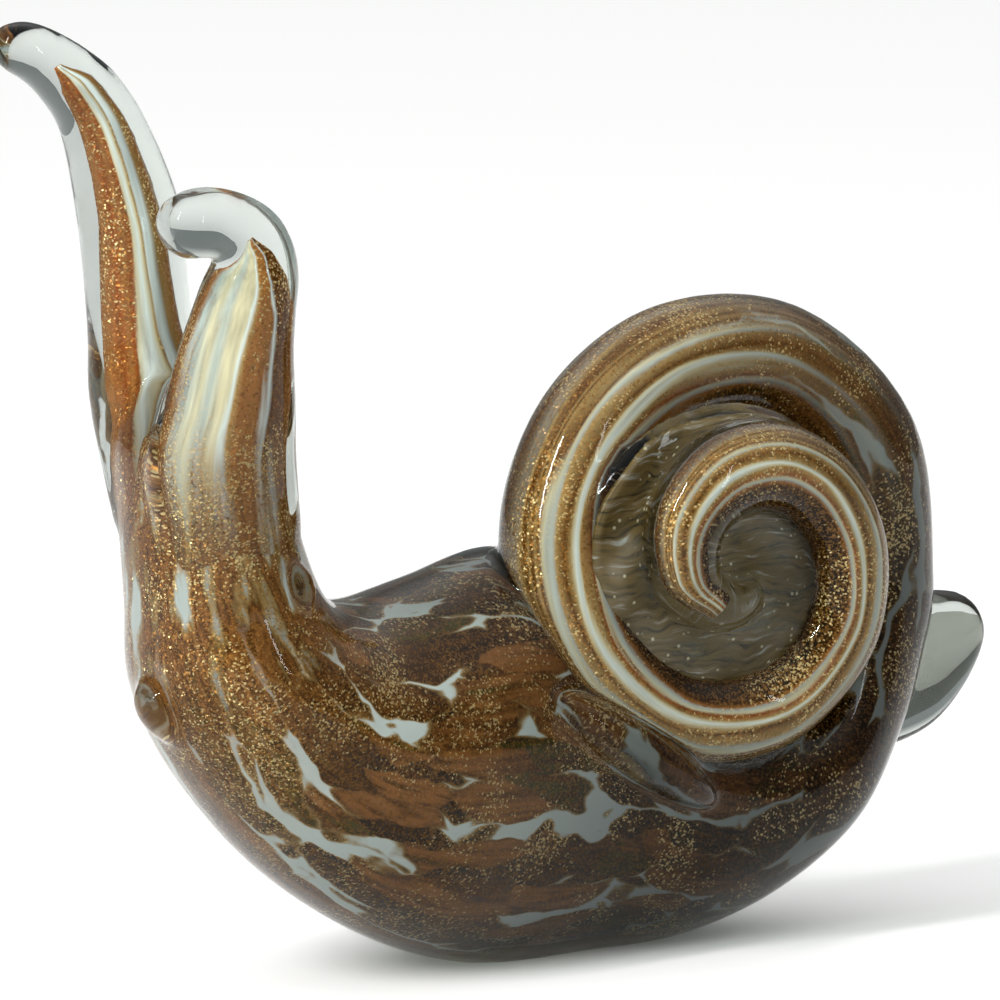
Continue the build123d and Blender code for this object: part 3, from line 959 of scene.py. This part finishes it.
@dataclass
class RolledCore:
    """The white and coloured masses inside the casing."""

    glass: SnailGlass
    around: int = 64
    steps: int = 8
    # how much painted shade darkens the body's colour under the shell and round the coil's start
    body_painted_shade: float = 0.84
    # streaks down the neck, and patches along the body
    body_draws: tuple[Draw, ...] = (
        Draw(0.3, 60, 0, 1), Draw(0.66, 60, 0, 1), Draw(0.75, 52, 0, 1), Draw(0.8, 40, 0, 0.8),
        Draw(0.8, 26, 0, 0.35), Draw(0.78, 20, 0, 0.05), Draw(0.75, 16), Draw(0.73, 14),
        Draw(0.72, 12), Draw(0.7, 11), Draw(0.7, 11), Draw(0.7, 12), Draw(0.7, 15), Draw(0.7, 20),
    )
    # patches combed out to bands as the coil leaves the body, and bands from there to its tip
    coil_draws: tuple[Draw, ...] = (
        Draw(0.7, 24, 0.05), Draw(0.7, 32, 0.25), Draw(0.7, 44, 0.6), Draw(0.7, 60, 0.9),
        *[Draw(share, 60, 1) for share in (0.7, 0.7, 0.7, 0.7, 0.7, 0.68, 0.66, 0.62, 0.58, 0.52,
                                           0.48, 0.44, 0.3)],
    )
    far_draws: tuple[Draw, ...] = (
        Draw(0.3, 50, 0, 1), Draw(0.5, 50, 0, 1), Draw(0.56, 50, 0.3, 1), Draw(0.6, 50, 0.7, 1),
        *[Draw(share, 50, 1) for share in (0.58, 0.5, 0.45, 0.4, 0.35, 0.27, 0.06)],
    )
    near_draws: tuple[Draw, ...] = (
        Draw(0.3, 50, 0, 1), Draw(0.6, 50, 0, 1), Draw(0.66, 50, 0.1, 1), Draw(0.68, 50, 0.6, 1),
        *[Draw(share, 50, 1) for share in (0.68, 0.67, 0.62, 0.5, 0.3, 0.06)],
    )
    # the ribs by which a horn's colour sinks into the neck's, each with its share of the horn's own
    # place across, and those places
    root_ribs: tuple[tuple[Rib, float], ...] = (
        (Rib(-29.5, 40.0, -51.0, 36.0, 0.0, 6.0), 0.6),
        (Rib(-32.0, 50.0, -53.8, 48.0, 0.0, 7.0), 0.85),
    )
    far_root: float = 2.4
    near_root: float = -4.6
    # round the shell's tube: from its outer edge over the side that stands out to the coil's middle,
    # and back over the hidden side; the dark band round 0.4 is painted shade where the tube curves in
    # towards the coil's middle
    shell_bands: Stops = (
        (0.0, Shade.TAUPE), (0.02, Shade.SAND), (0.035, Shade.BROWN), (0.05, Shade.SAND),
        (0.062, Shade.BROWN), (0.08, Shade.SAND), (0.1, Shade.BROWN), (0.118, Shade.CREAM),
        (0.13, Shade.OPAL_SHADE), (0.145, Shade.SAND), (0.185, Shade.BROWN), (0.205, Shade.SAND),
        (0.218, Shade.CREAM), (0.232, Shade.OPAL), (0.24, Shade.CREAM), (0.25, Shade.SAND),
        (0.275, Shade.RUST), (0.29, Shade.CREAM), (0.305, Shade.OPAL_SHADE), (0.32, Shade.COPPER),
        (0.34, Shade.UMBER), (0.4, Shade.DARK), (0.47, Shade.UMBER), (0.55, Shade.BROWN),
        (0.6, Shade.SAND), (0.64, Shade.OPAL), (0.68, Shade.BROWN), (0.74, Shade.CREAM),
        (0.78, Shade.COPPER), (0.86, Shade.OPAL_SHADE), (0.92, Shade.BROWN), (1.0, Shade.TAUPE),
    )
    # round each horn, in the same way
    far_bands: Stops = (
        (0.0, Shade.COPPER), (0.06, Shade.RUST), (0.11, Shade.COPPER), (0.15, Shade.RUST),
        (0.165, Shade.CREAM), (0.2, Shade.OPAL), (0.23, Shade.CREAM), (0.25, Shade.SAND),
        (0.265, Shade.OPAL), (0.31, Shade.OPAL), (0.34, Shade.SAND), (0.4, Shade.COPPER),
        (0.5, Shade.OPAL), (0.6, Shade.CREAM), (0.7, Shade.COPPER), (0.85, Shade.BROWN),
        (1.0, Shade.COPPER),
    )
    near_bands: Stops = (
        (0.0, Shade.OPAL_SHADE), (0.05, Shade.CREAM), (0.1, Shade.OPAL_SHADE), (0.14, Shade.CREAM),
        (0.18, Shade.CREAM), (0.195, Shade.OPAL), (0.21, Shade.SAND), (0.225, Shade.COPPER),
        (0.29, Shade.COPPER), (0.305, Shade.OPAL), (0.32, Shade.BROWN), (0.4, Shade.BROWN),
        (0.45, Shade.COPPER), (0.55, Shade.BROWN), (0.65, Shade.COPPER), (0.75, Shade.OPAL),
        (0.85, Shade.BROWN), (0.95, Shade.COPPER), (1.0, Shade.OPAL_SHADE),
    )

    def horn_ribs(self, y: float, horn: tuple[Rib, ...], count: int) -> tuple[Rib, ...]:
        """The ribs of a horn's colour, from inside the neck up to its clear tip.

        Args:
            y: How far across the neck the horn is rooted.
            horn: The horn's own ribs.
            count: How many ribs the colour reaches through.

        Returns:
            The ribs.
        """
        root = tuple(replace(rib, y=y * lean) for rib, lean in self.root_ribs)
        return (root + horn)[:count]

    def masses(self) -> tuple[Mass, ...]:
        """The coloured masses, each with the ribs that its draws reach."""
        g = self.glass
        body_ribs = g.body + g.coil_ribs()[:len(self.coil_draws)]
        far_ribs = self.horn_ribs(self.far_root, g.far_horn, len(self.far_draws))
        near_ribs = self.horn_ribs(self.near_root, g.near_horn, len(self.near_draws))
        return (
            Mass("body_colour",
                 ("body_colour_layer", "body_white_core", "shell_colour_layer", "shell_white_core"),
                 body_ribs, self.body_draws + self.coil_draws, self.shell_bands, self.body_painted_shade),
            Mass("far_horn_colour", ("far_horn_colour_layer", "far_horn_white_core"),
                 far_ribs, self.far_draws, self.far_bands),
            Mass("near_horn_colour", ("near_horn_colour_layer", "near_horn_white_core"),
                 near_ribs, self.near_draws, self.near_bands),
        )

    def build(self) -> None:
        """Draws the coloured masses and dresses each."""
        for mass in self.masses():
            mesh = drawn_tube(mass.name, mass.ribs, mass.draws, Side.POINT, Side.POINT,
                              self.around, self.steps)
            finish = RolledColour(f"opal glass rolled in copper-fleck brown, {mass.name}", mass.bands,
                                  painted_shade=mass.painted_shade)
            mesh.materials.append(finish.material())
            piece = placed(mass.name, mesh)
            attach(piece, "root")
            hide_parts(*mass.nodes)
            LOG.info("%s: %d faces", mass.name, len(mesh.polygons))


@dataclass
class MiddleFilm:
    """The wavy film inside the clear web at the coil's middle: painted shade in dark grey-brown, with
    streaks.
    """

    centre: Triple = (21.4, -11.2, 51.0)
    radius: float = 17.6
    wall: float = 0.5
    around: int = 64
    rings: int = 14
    # the ripples: how many, how high, and their rates up and across, in radians to the millimetre
    ripples: int = 6
    ripple_height: float = 0.35
    rate_up: Pair = (0.2, 0.7)
    rate_across: Pair = (-0.6, 0.6)
    seed: int = 7

    def build(self, finish: bpy.types.Material) -> None:
        """Lays a round sheet, ripples it and gives it its thickness.

        Args:
            finish: The streaked film with its painted shade.
        """
        bm = bmesh.new()
        turn = Matrix.Translation(Vector(self.centre) * MM) @ Matrix.Rotation(radians(90), 4, "X")
        bmesh.ops.create_circle(bm, cap_ends=True, cap_tris=False, segments=self.around,
                                radius=self.radius * MM, matrix=turn)
        for _ in range(self.rings - 1):
            middle = max(bm.faces, key=lambda f: len(f.verts))
            bmesh.ops.inset_individual(bm, faces=[middle], thickness=self.radius * MM / (self.rings + 1))
        bmesh.ops.poke(bm, faces=[max(bm.faces, key=lambda f: len(f.verts))])
        rng = random.Random(self.seed)
        waves = [(rng.uniform(*self.rate_up), rng.uniform(*self.rate_across), rng.uniform(0, 2 * pi))
                 for _ in range(self.ripples)]
        for vert in bm.verts:
            x, z = vert.co.x / MM, vert.co.z / MM
            vert.co.y += sum(sin(a * z + b * x + c) for a, b, c in waves) * self.ripple_height * MM
        bmesh.ops.recalc_face_normals(bm, faces=bm.faces)
        bmesh.ops.solidify(bm, geom=bm.faces[:], thickness=self.wall * MM)
        bmesh.ops.recalc_face_normals(bm, faces=bm.faces)
        mesh = as_mesh(bm, "middle_film")
        mesh.materials.append(finish)
        piece = placed("middle_film", mesh)
        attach(piece, "root")
        LOG.info("middle film: %d faces", len(mesh.polygons))


@dataclass
class TailShadeCore:
    """A grey core inside the drawn tail: painted shade for the grey that the clear tail shows, with faint
    streaks.
    """

    glass: SnailGlass
    share: float = 0.6
    # how much of that share is left at each rib
    tapers: tuple[float, ...] = (1.0, 1.0, 1.0, 1.0, 0.9, 0.7, 1 / 6)
    around: int = 64
    steps: int = 10

    def build(self, finish: bpy.types.Material) -> None:
        """Draws it inside the tail.

        Args:
            finish: The grey painted shade, with faint streaks.
        """
        draws = [Draw(self.share * taper) for taper in self.tapers]
        mesh = drawn_tube("tail_shade_core", self.glass.tail, draws, Side.POINT, Side.POINT,
                          self.around, self.steps)
        mesh.materials.append(finish)
        piece = placed("tail_shade_core", mesh)
        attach(piece, "root")
        LOG.info("tail smoke: %d faces", len(mesh.polygons))


@dataclass(frozen=True)
class SoftBox:
    """A long soft lamp: where it hangs, how far off, its width and height, and its power in watts."""

    name: str
    azimuth: float
    elevation: float
    distance: float
    width: float
    height: float
    power: float


@dataclass
class Studio:
    """The pale floor, the soft lights and the camera at the photograph's angle."""

    target: Triple = (-3.87, -1.09, 58.74)
    azimuth: float = -28.0
    elevation: float = 10.0
    distance: float = 1500.0
    frame_width: float = 125.0
    sensor: float = 36.0
    reach: float = 100000.0
    lamps: tuple[SoftBox, ...] = (
        SoftBox("key", -74.0, 36.0, 800.0, 45.0, 400.0, 5.6),
        SoftBox("fill", 8.0, 24.0, 1200.0, 60.0, 600.0, 2.0),
    )
    floor_radius: float = 6000.0
    # a white ceiling over a room that falls off to grey at eye height, which draws the glass edges
    room: Stops = ((0.0, Shade.ROOM), (0.4, Shade.ROOM), (0.7, Shade.SKY))
    sky_strength: float = 1.2

    def stand(self, thing: bpy.types.Object, azimuth: float, elevation: float, distance: float) -> None:
        """Puts the camera or a lamp in the scene, turned to the snail.

        Args:
            thing: The camera or the lamp.
            azimuth: Its turn round the snail, from -Y towards +X.
            elevation: How high it stands over the level.
            distance: How far off it stands.
        """
        a, e = radians(azimuth), radians(elevation)
        look = Vector((-sin(a) * cos(e), cos(a) * cos(e), -sin(e)))
        thing.location = (Vector(self.target) - look * distance) * MM
        thing.rotation_euler = look.to_track_quat("-Z", "Y").to_euler()
        bpy.context.scene.collection.objects.link(thing)

    def camera(self) -> None:
        """Makes the camera, far off with a long lens."""
        data = bpy.data.cameras.new("camera")
        data.sensor_width = self.sensor
        data.lens = self.sensor * self.distance / self.frame_width
        data.clip_end = self.reach * MM
        seen = bpy.data.objects.new("camera", data)
        self.stand(seen, self.azimuth, self.elevation, self.distance)
        bpy.context.scene.camera = seen

    def floor(self) -> None:
        """Lays the plain pale floor."""
        bm = bmesh.new()
        bmesh.ops.create_circle(bm, cap_ends=True, segments=96, radius=self.floor_radius * MM)
        mesh = as_mesh(bm, "floor")
        material, tree = new_material("matt white board")
        shader = node(tree, "BsdfPrincipled", inputs={
            "Base Color": linear(Shade.FLOOR), "Roughness": 0.8,
        })
        node(tree, "OutputMaterial", inputs={"Surface": shader})
        mesh.materials.append(material)
        laid = bpy.data.objects.new("floor", mesh)
        bpy.context.scene.collection.objects.link(laid)

    def sky(self) -> None:
        """Lights the room from all round."""
        world = bpy.data.worlds.new("studio")
        world.use_nodes = True
        tree = world.node_tree
        tree.nodes.clear()
        aim = node(tree, "SeparateXYZ", inputs={0: node(tree, "TexCoord").outputs["Generated"]})
        room = node(tree, "ValToRGB", inputs={0: aim.outputs[2]})
        fill(room, self.room)
        sky = node(tree, "Background", inputs={"Color": room, "Strength": self.sky_strength})
        node(tree, "OutputWorld", inputs={"Surface": sky})
        bpy.context.scene.world = world

    def build(self) -> None:
        """Lays the floor and sets up the lights."""
        self.floor()
        for lamp in self.lamps:
            data = bpy.data.lights.new(lamp.name, "AREA")
            data.shape = "RECTANGLE"
            data.size, data.size_y = lamp.width * MM, lamp.height * MM
            data.energy = lamp.power
            hung = bpy.data.objects.new(lamp.name, data)
            self.stand(hung, lamp.azimuth, lamp.elevation, lamp.distance)
        self.sky()


def main() -> None:
    """Builds the snail and its studio."""
    logging.basicConfig(level=logging.INFO, format="%(name)s: %(message)s")
    studio = Studio()
    studio.camera()
    glass = SnailGlass()
    ClearCasing(glass).build(ClearGather().material())
    RolledCore(glass).build()
    MiddleFilm().build(StreakedShadeFilm().material())
    # painted shade: a nearly clear grey core greys the tail, with faint streaks
    tail_shade = StreakedShadeFilm("smoky glass drawn thin in the tail", streak=9.0, grain=3.0,
                           tint=Shade.HAZE_SHADE, cover=(0.0, 0.1))
    TailShadeCore(glass).build(tail_shade.material())
    studio.build()
    bpy.context.scene.view_settings.view_transform = "Standard"


if __name__ == "__main__":
    main()
